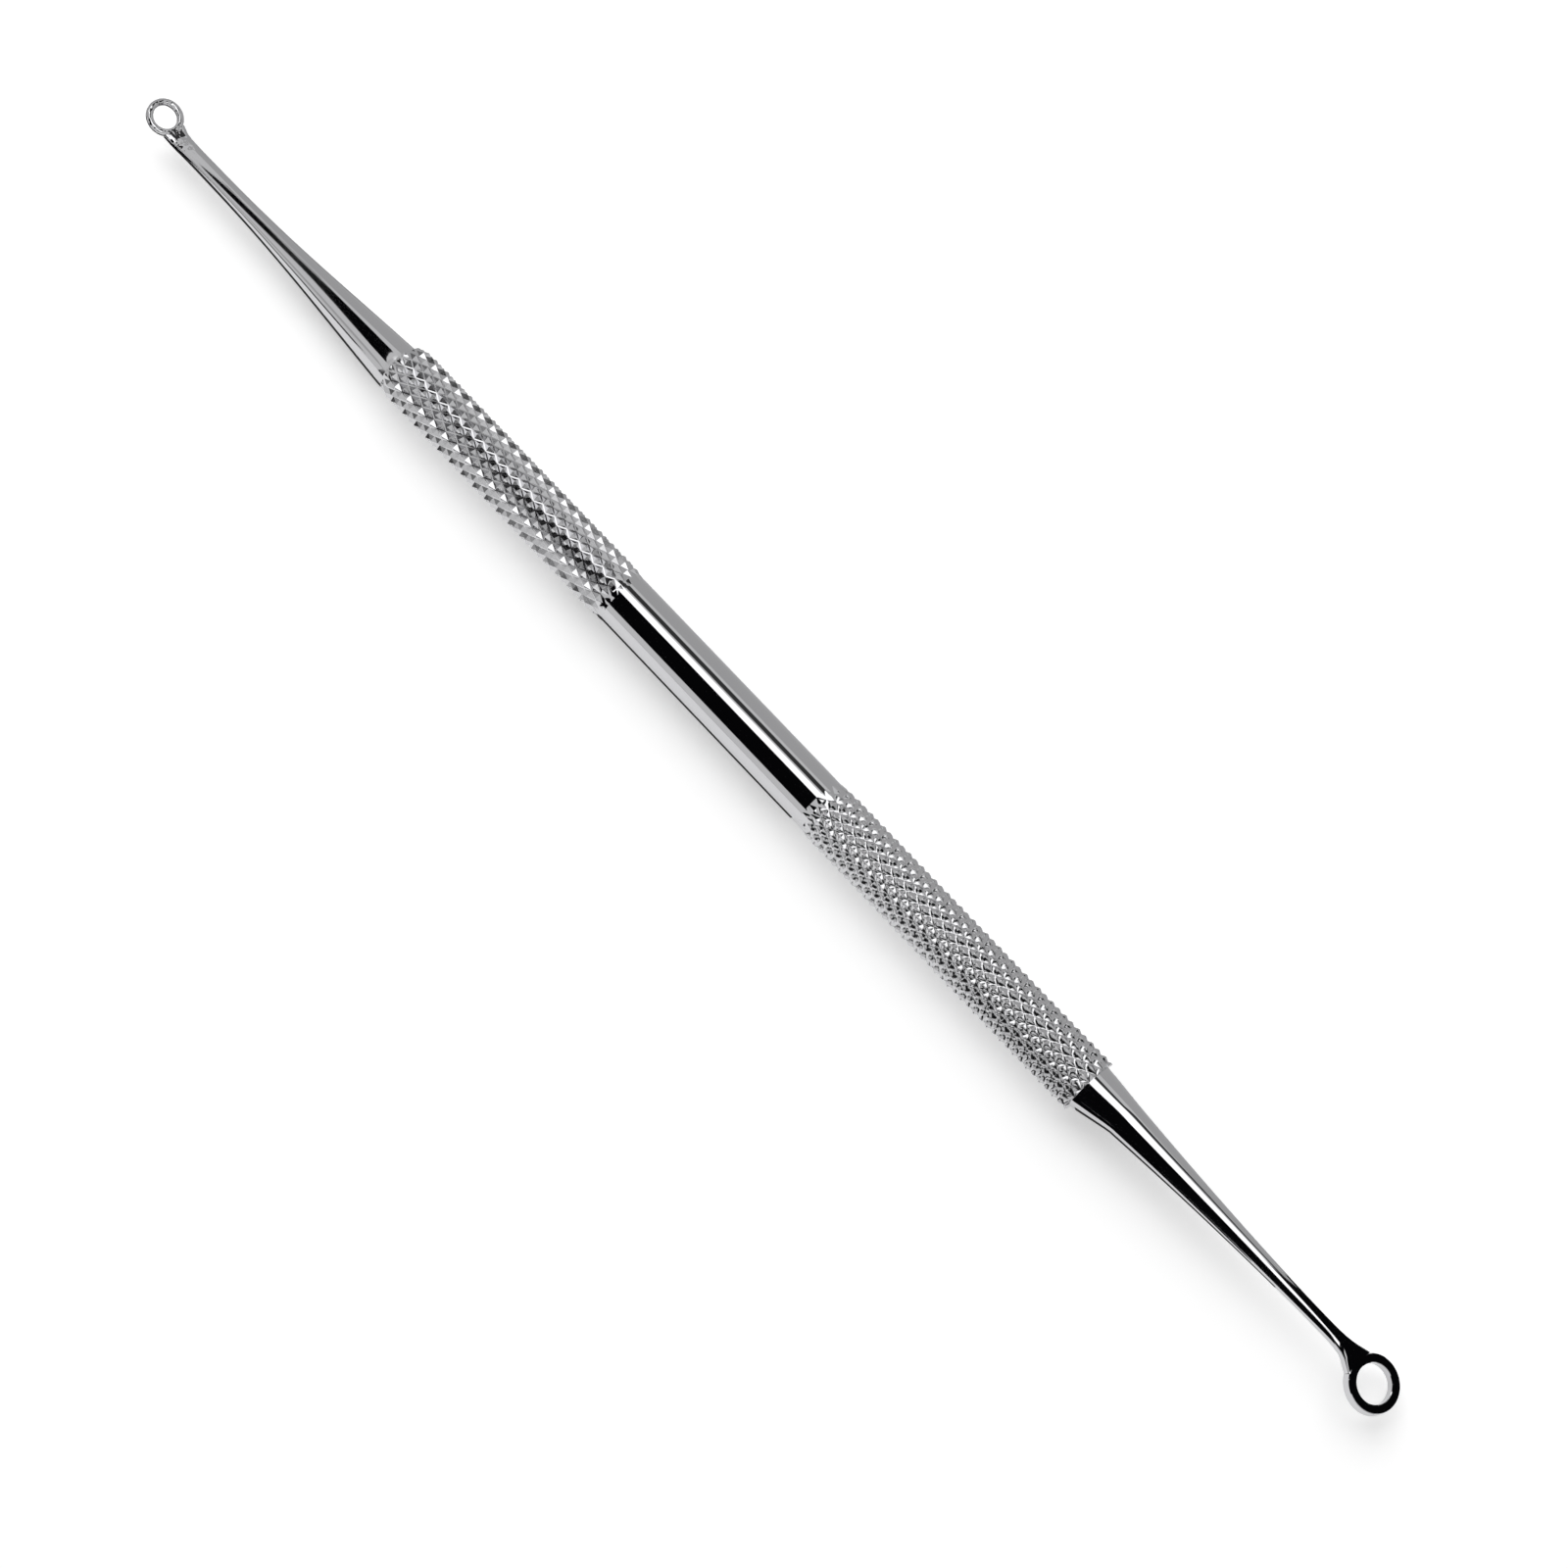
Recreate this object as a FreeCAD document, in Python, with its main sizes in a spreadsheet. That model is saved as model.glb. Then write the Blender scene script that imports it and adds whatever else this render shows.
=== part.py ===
import FreeCAD, Part
import math
import os

import Sketcher

# Comedone extractor: a slim double-ended skin tool made from one steel bar.
# The handle is a round bar with two bands of diamond knurling and a smooth grip between them.
# A tapered neck leaves each end of the handle and carries a flat open ring, a small one at the
# left end and a large one at the right end. Both rings are bent out of line with the handle.
# The handle's axis is X, and the handle starts at X = 0. The finished tool is then set down on
# its knurling, with the origin under its middle.

# Driving sizes in millimetres, angles in degrees
SIZES = [
    ("grip_dia", 4.0, "smooth grip between the knurled bands"),
    ("grip_len", 21.1, "smooth grip between the knurled bands"),
    ("left_band_len", 23.3, "knurled band beside the small ring"),
    ("right_band_len", 25.3, "knurled band beside the large ring"),
    ("crest_dia", 4.37, "over the points of the diamonds"),
    ("groove_dia", 3.74, "over the crossings of the grooves"),
    ("diamonds_round", 17, "diamonds in one turn of the bar"),
    ("diamond_len", 1.244, "one diamond, measured along the bar"),
    ("shoulder_len", 1.2, "rounded outer end of the left band"),
    ("shoulder_dia", 3.95, "left band at its outer end face"),
    ("root_len", 3.0, "steep first part of either neck"),
    ("left_neck_len", 24.0, "left band to the bend at the small ring"),
    ("left_root_dia", 3.66, "left neck where it leaves the band"),
    ("left_base_dia", 3.38, "left neck past its steep first part"),
    ("left_base_rise", -0.36, "centre of that section above the handle's axis"),
    ("left_tip_width", 1.34, "left neck at the bend"),
    ("left_tip_height", 0.8, "left neck at the bend"),
    ("left_tip_rise", -0.42, "bend of the left neck above the handle's axis"),
    ("left_taper", 1.7, "power by which the left neck slims, 1 being a straight cone"),
    ("small_reach", 2.0, "bend to the middle of the small ring"),
    ("small_pitch", 24.0, "small ring, tip up"),
    ("small_ring_dia", 2.8, "small ring over its back face"),
    ("small_face_dia", 2.6, "small ring over its front face"),
    ("small_hole_dia", 1.74, "opening of the small ring"),
    ("small_thick", 0.5, "small ring"),
    ("small_web_width", 1.8, "left neck where it runs into the small ring"),
    ("right_neck_len", 23.3, "right band to the bend at the large ring"),
    ("right_root_dia", 3.6, "right neck where it leaves the band"),
    ("right_base_dia", 2.64, "right neck past its steep first part"),
    ("right_base_rise", 0.46, "centre of that section above the handle's axis"),
    ("right_tip_width", 1.07, "right neck at the bend"),
    ("right_tip_height", 0.75, "right neck at the bend"),
    ("right_tip_rise", 0.68, "bend of the right neck above the handle's axis"),
    ("right_taper", 1.95, "power by which the right neck slims, 1 being a straight cone"),
    ("large_reach", 2.7, "bend to the middle of the large ring"),
    ("large_pitch", -17.0, "large ring, tip down"),
    ("large_ring_dia", 4.05, "large ring over its back face"),
    ("large_face_dia", 3.84, "large ring over its front face"),
    ("large_hole_dia", 2.63, "opening of the large ring"),
    ("large_thick", 0.6, "large ring"),
    ("large_web_width", 2.0, "right neck where it runs into the large ring"),
    ("hole_chamfer", 0.08, "broken edge round each opening"),
    ("ring_lean", 16.0, "lean of both bent ends as the tool lies"),
    ("run_out_depth", 0.03, "grip's tapered ends below the grooves, out of sight"),
]

doc = FreeCAD.newDocument("comedone_extractor")
sheet = doc.addObject("Spreadsheet::Sheet", "sizes")
for row, (alias, value, meaning) in enumerate(SIZES, start=1):
    sheet.set(f"A{row}", alias)
    sheet.set(f"B{row}", str(value))
    sheet.setAlias(f"B{row}", alias)
    sheet.set(f"C{row}", meaning)
doc.recompute()

# Sections of each neck between its steep first part and the bend, and the share of a ring's
# thickness that its neck fills inside the wall
SLIMMING_STEPS = 7
WALL_SHARE = 0.8

half_diamond = sheet.diamond_len / 2
hidden_radius = sheet.groove_dia / 2 - sheet.run_out_depth
band_starts = [0.0, sheet.left_band_len + sheet.grip_len]
handle_len = band_starts[1] + sheet.right_band_len


def bound(kind, name, **formulas):
    """Adds an object whose named properties follow the sizes."""
    made = doc.addObject(kind, name)
    for key, formula in formulas.items():
        made.setExpression(key, formula)
    return made


def make_grip():
    """A turned bar. Its ends taper down under the knurling, so that the grooves run out on it."""
    body = doc.addObject("PartDesign::Body", "grip")
    plane = [o for o in body.Origin.OriginFeatures if o.Role == "XZ_Plane"][0]
    profile = body.newObject("Sketcher::SketchObject", "grip_profile")
    profile.AttachmentSupport = [(plane, "")]
    profile.MapMode = "FlatFace"
    start = sheet.left_band_len
    end = start + sheet.grip_len
    top = sheet.grip_dia / 2
    corners = [
        (start - half_diamond, 0),
        (start - half_diamond, hidden_radius),
        (start, top),
        (end, top),
        (end + half_diamond, hidden_radius),
        (end + half_diamond, 0),
    ]
    points = [FreeCAD.Vector(along, up, 0) for along, up in corners]
    count = len(points)
    for k in range(count):
        profile.addGeometry(Part.LineSegment(points[k], points[(k + 1) % count]))
    for k in range(count):
        profile.addConstraint(Sketcher.Constraint("Coincident", k, 2, (k + 1) % count, 1))
    profile.addConstraint(Sketcher.Constraint("Vertical", 0))
    profile.addConstraint(Sketcher.Constraint("Horizontal", 2))
    profile.addConstraint(Sketcher.Constraint("Vertical", 4))
    profile.addConstraint(Sketcher.Constraint("PointOnObject", 5, 1, -1))
    profile.addConstraint(Sketcher.Constraint("PointOnObject", 5, 2, -1))
    under = "sizes.groove_dia / 2 - sizes.run_out_depth"
    lengths = [
        ("start", "DistanceX", (-1, 1, 2, 1), start, "sizes.left_band_len"),
        ("grip_length", "DistanceX", (2, 1, 2, 2), sheet.grip_len, "sizes.grip_len"),
        ("grip_radius", "DistanceY", (-1, 1, 2, 1), top, "sizes.grip_dia / 2"),
        ("left_taper", "DistanceX", (1, 1, 1, 2), half_diamond, "sizes.diamond_len / 2"),
        ("right_taper", "DistanceX", (3, 1, 3, 2), half_diamond, "sizes.diamond_len / 2"),
        ("left_end", "DistanceY", (0, 1, 0, 2), hidden_radius, under),
        ("right_end", "DistanceY", (4, 2, 4, 1), hidden_radius, under),
    ]
    for name, kind, ends, value, formula in lengths:
        index = profile.addConstraint(Sketcher.Constraint(kind, *ends, value))
        profile.renameConstraint(index, name)
        profile.setExpression(f"Constraints.{name}", formula)
    turned = body.newObject("PartDesign::Revolution", "turned_grip")
    turned.Profile = profile
    turned.ReferenceAxis = (profile, ["H_Axis"])
    turned.Angle = 360
    body.Tip = turned
    return body


def ring_of_points(along, crest, groove, step):
    """One station of the knurl: crests and groove crossings in turn, with a flat underneath."""
    count = 2 * int(sheet.diamonds_round)
    points = []
    for k in range(count):
        radius = crest if (k + step) % 2 == 0 else groove
        angle = math.pi * (2 * k + 1) / count - math.pi / 2
        points.append(FreeCAD.Vector(along, radius * math.cos(angle), radius * math.sin(angle)))
    return points


def knurl(name, start, length, inner_side, shoulder):
    """A band of diamond knurling: pointed diamonds between two crossing sets of grooves."""
    rows = round(length / half_diamond)
    full_crest = sheet.crest_dia / 2
    groove = sheet.groove_dia / 2
    stations = []
    for step in range(rows + 1):
        along = start + length * step / rows
        crest = full_crest
        if shoulder and along - start < sheet.shoulder_len:
            share = math.sin(math.pi / 2 * (along - start) / sheet.shoulder_len)
            crest = sheet.shoulder_dia / 2 + share * (full_crest - sheet.shoulder_dia / 2)
        stations.append(ring_of_points(along, crest, groove, step))
    # The last half row dives below the smooth grip, so that its diamonds fade out there
    if inner_side > 0:
        end = start + length + length / rows
        stations.append(ring_of_points(end, hidden_radius, hidden_radius, rows + 1))
    else:
        stations.insert(0, ring_of_points(start - length / rows, hidden_radius, hidden_radius, -1))
    first = 0 if inner_side > 0 else -1
    faces = [Part.Face(Part.makePolygon(ring + ring[:1])) for ring in (stations[0], stations[-1])]
    for number in range(len(stations) - 1):
        near = stations[number]
        far = stations[number + 1]
        for k in range(len(near)):
            m = (k + 1) % len(near)
            if (k + first + number) % 2 == 0:
                corners = [(near[k], near[m], far[k]), (far[m], far[k], near[m])]
            else:
                corners = [(near[k], near[m], far[m]), (far[m], far[k], near[k])]
            for one, two, three in corners:
                faces.append(Part.Face(Part.makePolygon([one, two, three, one])))
    solid = Part.Solid(Part.makeShell(faces))
    if solid.Volume < 0:
        solid.reverse()
    band = doc.addObject("Part::Feature", name)
    band.Shape = solid
    return band


def neck_section(name, along, rise, width, height, tilt):
    """One elliptical section of a neck, square to the neck, which bends in the XZ plane."""
    return bound(
        "Part::Ellipse",
        name,
        MajorRadius=f"({width}) / 2",
        MinorRadius=f"({height}) / 2",
        Placement=f"placement(vector({along}; 0; {rise}); rotation(90; 0; 90 + {tilt}))",
    )


def loft(name, sections, straight):
    """A solid through the sections given."""
    made = doc.addObject("Part::Loft", name)
    made.Sections = sections
    made.Solid = True
    made.Ruled = straight
    return made


def make_end(side, ring, root, outward):
    """A neck with its ring: side and ring are the first words of their sizes, outward is 1 or -1."""
    bend = f"({root} + {outward} * sizes.{side}_neck_len)"
    base = f"sizes.{side}_base_dia"
    base_rise = f"sizes.{side}_base_rise"
    tip_width = f"sizes.{side}_tip_width"
    tip_height = f"sizes.{side}_tip_height"
    tip_rise = f"sizes.{side}_tip_rise"
    pitch = f"sizes.{ring}_pitch"
    tilt = f"{-outward} * {pitch}"

    # The neck drops steeply out of the knurl, off to one side of the handle's axis
    root_dia = f"sizes.{side}_root_dia"
    start = neck_section(f"{side}_root", root, "0", root_dia, root_dia, "0")

    # Then it slims to the bend, and is round at first and flattened towards the end
    slimming = []
    for k in range(SLIMMING_STEPS + 1):
        share = k / SLIMMING_STEPS
        along = f"{root} + {outward} * (sizes.root_len + {share} * (sizes.{side}_neck_len - sizes.root_len))"
        width = f"({tip_width} + ({base} - {tip_width}) * {1 - share} ^ sizes.{side}_taper)"
        height = f"{width} * (1 - {share ** 3} * (1 - {tip_height} / {tip_width}))"
        rise = f"{base_rise} + {share} * ({tip_rise} - {base_rise})"
        turn = f"{share ** 8 / 2} * {tilt}"
        slimming.append(neck_section(f"{side}_section_{k + 1}", along, rise, width, height, turn))

    # Past the bend it lies in the ring's plane, widens a little and ends inside the ring's wall
    thick = f"sizes.{ring}_thick"
    web = f"sizes.{ring}_web_width"
    rim = f"sizes.{ring}_ring_dia / 2"
    wall = f"({rim} + sizes.{ring}_hole_dia / 2) / 2"
    halfway = f"(sizes.{ring}_reach + {rim}) / 2"
    halfway_width = f"({tip_width} * 3 + {web}) / 4"
    halfway_height = f"({tip_height} + {thick}) / 2"
    throat = [slimming[-1]]
    for name, inward, width, height in [
        ("throat", halfway, halfway_width, halfway_height),
        ("wall", wall, web, f"{thick} * {WALL_SHARE}"),
    ]:
        reach = f"(sizes.{ring}_reach - {inward})"
        along = f"{bend} + {outward} * {reach} * cos({pitch} * 1 deg)"
        rise = f"{tip_rise} + {reach} * sin({pitch} * 1 deg)"
        throat.append(neck_section(f"{side}_{name}", along, rise, width, height, tilt))

    # The ring is a disc with a bevelled rim, whose opening has both edges broken
    centre_x = f"{bend} + {outward} * sizes.{ring}_reach * cos({pitch} * 1 deg)"
    centre_z = f"{tip_rise} + sizes.{ring}_reach * sin({pitch} * 1 deg)"

    def on_axis(height):
        x = f"{centre_x} + ({height}) * sin({tilt} * 1 deg)"
        z = f"{centre_z} + ({height}) * cos({tilt} * 1 deg)"
        return f"placement(vector({x}; 0; {z}); rotation(0; {tilt}; 0))"

    disc = bound(
        "Part::Cone",
        f"{ring}_disc",
        Radius1=f"sizes.{ring}_ring_dia / 2",
        Radius2=f"sizes.{ring}_face_dia / 2",
        Height=thick,
        Placement=on_axis(f"-{thick} / 2"),
    )
    hole = bound(
        "Part::Cylinder",
        f"{ring}_hole",
        Radius=f"sizes.{ring}_hole_dia / 2",
        Height=f"2 * {thick}",
        Placement=on_axis(f"-{thick}"),
    )
    front_edge = bound(
        "Part::Cone",
        f"{ring}_front_edge",
        Radius1=f"sizes.{ring}_hole_dia / 2",
        Radius2=f"sizes.{ring}_hole_dia / 2 + 2 * sizes.hole_chamfer",
        Height="2 * sizes.hole_chamfer",
        Placement=on_axis(f"{thick} / 2 - sizes.hole_chamfer"),
    )
    back_edge = bound(
        "Part::Cone",
        f"{ring}_back_edge",
        Radius1=f"sizes.{ring}_hole_dia / 2 + 2 * sizes.hole_chamfer",
        Radius2=f"sizes.{ring}_hole_dia / 2",
        Height="2 * sizes.hole_chamfer",
        Placement=on_axis(f"-{thick} / 2 - sizes.hole_chamfer"),
    )
    opening = doc.addObject("Part::MultiFuse", f"{ring}_opening")
    opening.Shapes = [hole, front_edge, back_edge]
    blank = doc.addObject("Part::MultiFuse", f"{side}_blank")
    blank.Shapes = [
        loft(f"{side}_root_taper", [start, slimming[0]], True),
        loft(f"{side}_neck", slimming, False),
        loft(f"{side}_web", throat, False),
        disc,
    ]
    end = doc.addObject("Part::Cut", f"{side}_end")
    end.Base = blank
    end.Tool = opening
    end.setExpression("Placement", "placement(vector(0; 0; 0); rotation(vector(1; 0; 0); -sizes.ring_lean))")
    return end


grip = make_grip()
left_band = knurl("left_band", band_starts[0], sheet.left_band_len, 1, True)
right_band = knurl("right_band", band_starts[1], sheet.right_band_len, -1, False)
handle_end = "(sizes.left_band_len + sizes.grip_len + sizes.right_band_len)"
left_end = make_end("left", "small", "0", -1)
right_end = make_end("right", "large", handle_end, 1)
doc.recompute()

# The tool lies on two lines of knurl points, and the origin is under the middle of its box
tool = doc.addObject("Part::MultiFuse", "extractor_body")
tool.Label = "extractor_body"
tool.Shapes = [grip, left_band, right_band, left_end, right_end]
box = FreeCAD.BoundBox()
for piece in tool.Shapes:
    box.add(piece.Shape.optimalBoundingBox(False, False))
floor = -sheet.crest_dia / 2 * math.cos(math.pi / 2 / sheet.diamonds_round)
tool.Placement = FreeCAD.Placement(
    FreeCAD.Vector(-box.Center.x, -box.Center.y, -floor), FreeCAD.Rotation()
)
doc.recompute()

for thing in doc.Objects:
    if "Invalid" in thing.State or "Error" in thing.State:
        raise RuntimeError(f"{thing.Label} did not build: {thing.State}")
if tool.Shape.isNull() or not tool.Shape.isValid() or len(tool.Shape.Solids) != 1:
    raise RuntimeError("extractor_body is not one valid solid")

os.makedirs("parts", exist_ok=True)
tool.Shape.exportStep("parts/extractor_body.step")
print("volume", round(tool.Shape.Volume, 3), "mm3, faces", len(tool.Shape.Faces))
print("box", tool.Shape.optimalBoundingBox(False, False))
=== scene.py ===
# %% [markdown]
# A comedone extractor is a slim steel tool for the skin. It is turned from one bar: a smooth grip
# between two knurled bands, and a tapered neck at each end that carries a small open ring.
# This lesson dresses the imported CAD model, which fixes the size and the place of everything. The
# CAD solid is correct but plain, so the tool is modelled again here in the same place, with rounded
# edges and a polished finish.

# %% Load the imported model
import math

import bpy
from mathutils import Matrix, Vector


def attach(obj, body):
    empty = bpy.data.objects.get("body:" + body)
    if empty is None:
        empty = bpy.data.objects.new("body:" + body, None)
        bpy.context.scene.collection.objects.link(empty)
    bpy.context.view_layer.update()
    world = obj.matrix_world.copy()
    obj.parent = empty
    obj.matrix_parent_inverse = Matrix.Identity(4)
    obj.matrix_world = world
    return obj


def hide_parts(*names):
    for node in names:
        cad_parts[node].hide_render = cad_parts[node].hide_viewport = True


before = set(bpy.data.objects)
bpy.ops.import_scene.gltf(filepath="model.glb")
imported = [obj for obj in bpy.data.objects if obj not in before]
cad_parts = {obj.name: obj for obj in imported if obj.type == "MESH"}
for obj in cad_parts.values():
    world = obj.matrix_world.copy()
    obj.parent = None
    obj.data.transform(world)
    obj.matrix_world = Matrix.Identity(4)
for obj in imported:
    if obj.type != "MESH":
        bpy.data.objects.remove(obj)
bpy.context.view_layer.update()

# %% [markdown]
# Sizes are easier to read in millimetres, as on a workshop drawing, and Blender works in metres.
# One factor turns the first into the second. The handle lies along X. Its axis sits a little lower
# than the radius of the knurling, because the tool rests on two rows of its points.

# %% Sizes of the tool
MM = 0.001
TURN = 2 * math.pi
LEFT_BAND = 23.3 * MM
GRIP = 21.1 * MM
RIGHT_BAND = 25.3 * MM
GRIP_R = 2.0 * MM
CREST_R = 2.185 * MM
GROOVE_R = 1.86 * MM
DIAMONDS_ROUND = 17
DIAMOND = 1.244 * MM
HANDLE_START = -35.149 * MM
AXIS_Z = CREST_R * math.cos(TURN / 4 / DIAMONDS_ROUND)
LEAN = math.radians(16)  # of both bent ends, as the tool lies
GRIP_START = HANDLE_START + LEFT_BAND
GRIP_END = GRIP_START + GRIP
HANDLE_END = GRIP_END + RIGHT_BAND
SAME = 0.01 * MM  # places and radii nearer than this count as the same
print("handle from", round(HANDLE_START / MM, 2), "to", round(HANDLE_END / MM, 2), "mm")

# %% [markdown]
# Every step below starts with nothing selected, because an operator in edit mode changes all that
# is selected, and the loaded model comes in selected. A few small helpers see to this: they add a
# primitive and name it, make one piece the active one, pick vertices by their place, and apply a
# modifier. The last one prints what a piece measures, read from its vertices.

# %% Helpers for modelling by hand


def start_piece(name, add, **settings):
    """Deselects everything, adds a primitive and returns it as the active object."""
    if bpy.context.object and bpy.context.object.mode != "OBJECT":
        bpy.ops.object.mode_set(mode="OBJECT")
    bpy.ops.object.select_all(action="DESELECT")
    add(**settings)
    made = bpy.context.object
    made.name = name
    bpy.ops.object.transform_apply(location=True, rotation=True, scale=True)
    return made


def make_active(piece):
    """Selects this piece alone."""
    bpy.ops.object.select_all(action="DESELECT")
    piece.select_set(True)
    bpy.context.view_layer.objects.active = piece


def pick(piece, wanted):
    """Selects the vertices whose place the function wanted accepts, and stays in edit mode."""
    bpy.ops.object.mode_set(mode="EDIT")
    bpy.ops.mesh.select_mode(type="VERT")
    bpy.ops.mesh.select_all(action="DESELECT")
    bpy.ops.object.mode_set(mode="OBJECT")
    for vertex in piece.data.vertices:
        vertex.select = wanted(vertex.co)
    bpy.ops.object.mode_set(mode="EDIT")


def apply_modifier(piece, kind, **settings):
    """Adds a modifier, sets it up and applies it."""
    bpy.ops.object.mode_set(mode="OBJECT")
    modifier = piece.modifiers.new(kind.title(), kind)
    for key, value in settings.items():
        setattr(modifier, key, value)
    bpy.ops.object.modifier_apply(modifier=modifier.name)


def report(piece):
    rows = zip(*(vertex.co for vertex in piece.data.vertices))
    size = [round((max(row) - min(row)) / MM, 2) for row in rows]
    print(piece.name, "size in mm:", size, "faces:", len(piece.data.polygons))


# %% [markdown]
# Diamond knurling is pressed into the bar by two hardened wheels. Each wheel cuts one set of
# slanting grooves, and the pointed diamonds are what is left between them.
# All diamonds are alike, so one turn of them is modelled: a circle with one point for each crest
# and one for each crossing of the grooves, extruded twice by half a diamond. Every other point is
# drawn in to the depth of the grooves, and edges are drawn along their bottoms. An Array modifier
# then repeats that turn along the bar.

# %% One turn of diamonds, repeated along the bar
POINT_R = 2.19 * MM  # of the sharp points, before they are pressed flat


def radius_of(place):
    return math.hypot(place.y, place.z)


def knurled_band(name, start, length, from_left):
    points_round = 2 * DIAMONDS_ROUND
    band = start_piece(
        name,
        bpy.ops.mesh.primitive_circle_add,
        vertices=points_round,
        radius=POINT_R,
        rotation=(0, TURN / 4, 0),
    )
    bpy.ops.object.mode_set(mode="EDIT")
    bpy.ops.mesh.select_all(action="SELECT")
    for half in range(2):
        bpy.ops.mesh.extrude_region_move(TRANSFORM_OT_translate={"value": (DIAMOND / 2, 0, 0)})
    step = TURN / points_round

    def is_groove(place):
        number = round(place.x / (DIAMOND / 2))
        turn = round((math.atan2(place.z, place.y) + TURN / 4) / step - 0.5)
        return (number + turn) % 2 == 1

    pick(band, is_groove)
    inward = GROOVE_R / POINT_R
    bpy.ops.transform.resize(value=(1, inward, inward), center_override=(DIAMOND / 2, 0, 0))
    bpy.ops.mesh.vert_connect()
    rows = math.ceil(length / DIAMOND) + 1
    apply_modifier(
        band,
        "ARRAY",
        count=rows,
        use_relative_offset=False,
        use_constant_offset=True,
        constant_offset_displace=(DIAMOND, 0, 0),
        use_merge_vertices=True,
        merge_threshold=SAME,
    )
    # Whole diamonds lie at the start of the left band and at the end of the right one
    shift = start if from_left else start + length - rows * DIAMOND
    band.data.transform(Matrix.Translation((shift, 0, 0)))
    return band


left_band = knurled_band("left_band", HANDLE_START, LEFT_BAND, True)
right_band = knurled_band("right_band", GRIP_END, RIGHT_BAND, False)
report(left_band)
report(right_band)

# %% [markdown]
# The grooves have a slightly rounded bottom, because the wheels' teeth are never quite sharp. That
# round bottom catches the light as a fine bright net. A Bevel modifier that works only on marked
# edges gives it. The left wheel was the sharper one, so the right band's grooves are softer and get
# one step more. The very points of the diamonds are pressed flat by the bottoms of the wheels' own
# grooves, which a bevel of those vertices gives.

# %% Rounded grooves and flattened points
GROOVE_BEVEL = 0.06 * MM
POINT_FLAT = 0.04 * MM


def round_grooves(band, steps):
    weights = band.data.attributes.new("bevel_weight_edge", "FLOAT", "EDGE")
    for edge in band.data.edges:
        ends = [band.data.vertices[k].co for k in edge.vertices]
        if all(radius_of(place) < GROOVE_R + SAME for place in ends):
            weights.data[edge.index].value = 1.0
    apply_modifier(band, "BEVEL", limit_method="WEIGHT", width=GROOVE_BEVEL, segments=steps)
    pick(band, lambda place: radius_of(place) > POINT_R - SAME)
    bpy.ops.mesh.bevel(offset=POINT_FLAT, segments=1, affect="VERTICES")
    bpy.ops.object.mode_set(mode="OBJECT")


for band, steps in ((left_band, 1), (right_band, 2)):
    make_active(band)
    round_grooves(band, steps)
    report(band)

# %% [markdown]
# Each band is cut square at both ends. Bisect does this, and it needs a threshold that suits so
# small a thing: with the usual one, of a tenth of a millimetre, it leaves flaps at the cut. The
# left band's outer end is rounded over. Towards the smooth grip both bands take on its radius, so
# that the last grooves run out on it like whiskers. For both, each vertex is moved straight in or
# out to the radius that a small function gives.

# %% Finished ends of the bands
CUT_NEAR = 0.001 * MM
SHOULDER_START = HANDLE_START + 0.5 * MM
SHOULDER = 1.0 * MM
SHOULDER_R = 1.95 * MM
FADE = 1.4 * MM


def trim_band(band, start, end):
    """Cuts the band square at both ends, closes the cuts and turns all faces outwards."""
    make_active(band)
    for place, outward in ((start, -1), (end, 1)):
        bpy.ops.object.mode_set(mode="EDIT")
        bpy.ops.mesh.select_all(action="SELECT")
        bpy.ops.mesh.bisect(
            plane_co=(place, 0, 0),
            plane_no=(outward, 0, 0),
            clear_outer=True,
            use_fill=True,
            threshold=CUT_NEAR,
        )
        bpy.ops.mesh.select_all(action="SELECT")
        bpy.ops.mesh.normals_make_consistent(inside=False)
        bpy.ops.object.mode_set(mode="OBJECT")


def shape_radius(band, wanted):
    """Moves each vertex straight in or out to the radius that wanted gives for it."""
    for vertex in band.data.vertices:
        radius = radius_of(vertex.co)
        if radius > 0:
            ratio = wanted(vertex.co.x, radius) / radius
            vertex.co.y *= ratio
            vertex.co.z *= ratio


def rounded_over(x, radius):
    near = min(max((x - SHOULDER_START) / SHOULDER, 0), 1)
    top = SHOULDER_R + (CREST_R - SHOULDER_R) * math.sin(near * TURN / 4)
    return GROOVE_R + (radius - GROOVE_R) * (top - GROOVE_R) / (CREST_R - GROOVE_R)


def fading_left(x, radius):
    near = min(max((GRIP_START + FADE / 2 - x) / FADE, 0), 1)
    return GRIP_R + (radius - GRIP_R) * near


def fading_right(x, radius):
    near = min(max((x - GRIP_END + FADE / 2) / FADE, 0), 1)
    return GRIP_R + (radius - GRIP_R) * near


trim_band(left_band, SHOULDER_START, GRIP_START + FADE / 2)
trim_band(right_band, GRIP_END - FADE / 2, HANDLE_END)
shape_radius(left_band, rounded_over)
shape_radius(left_band, fading_left)
shape_radius(right_band, fading_right)
report(left_band)
report(right_band)

# %% [markdown]
# The smooth grip is the bar as it was turned. A cylinder is enough for its form. It ends where the
# first grooves begin, and a short cone at each end, made by extrude and resize, reaches under the
# bands, so that no gap shows there.

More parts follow.
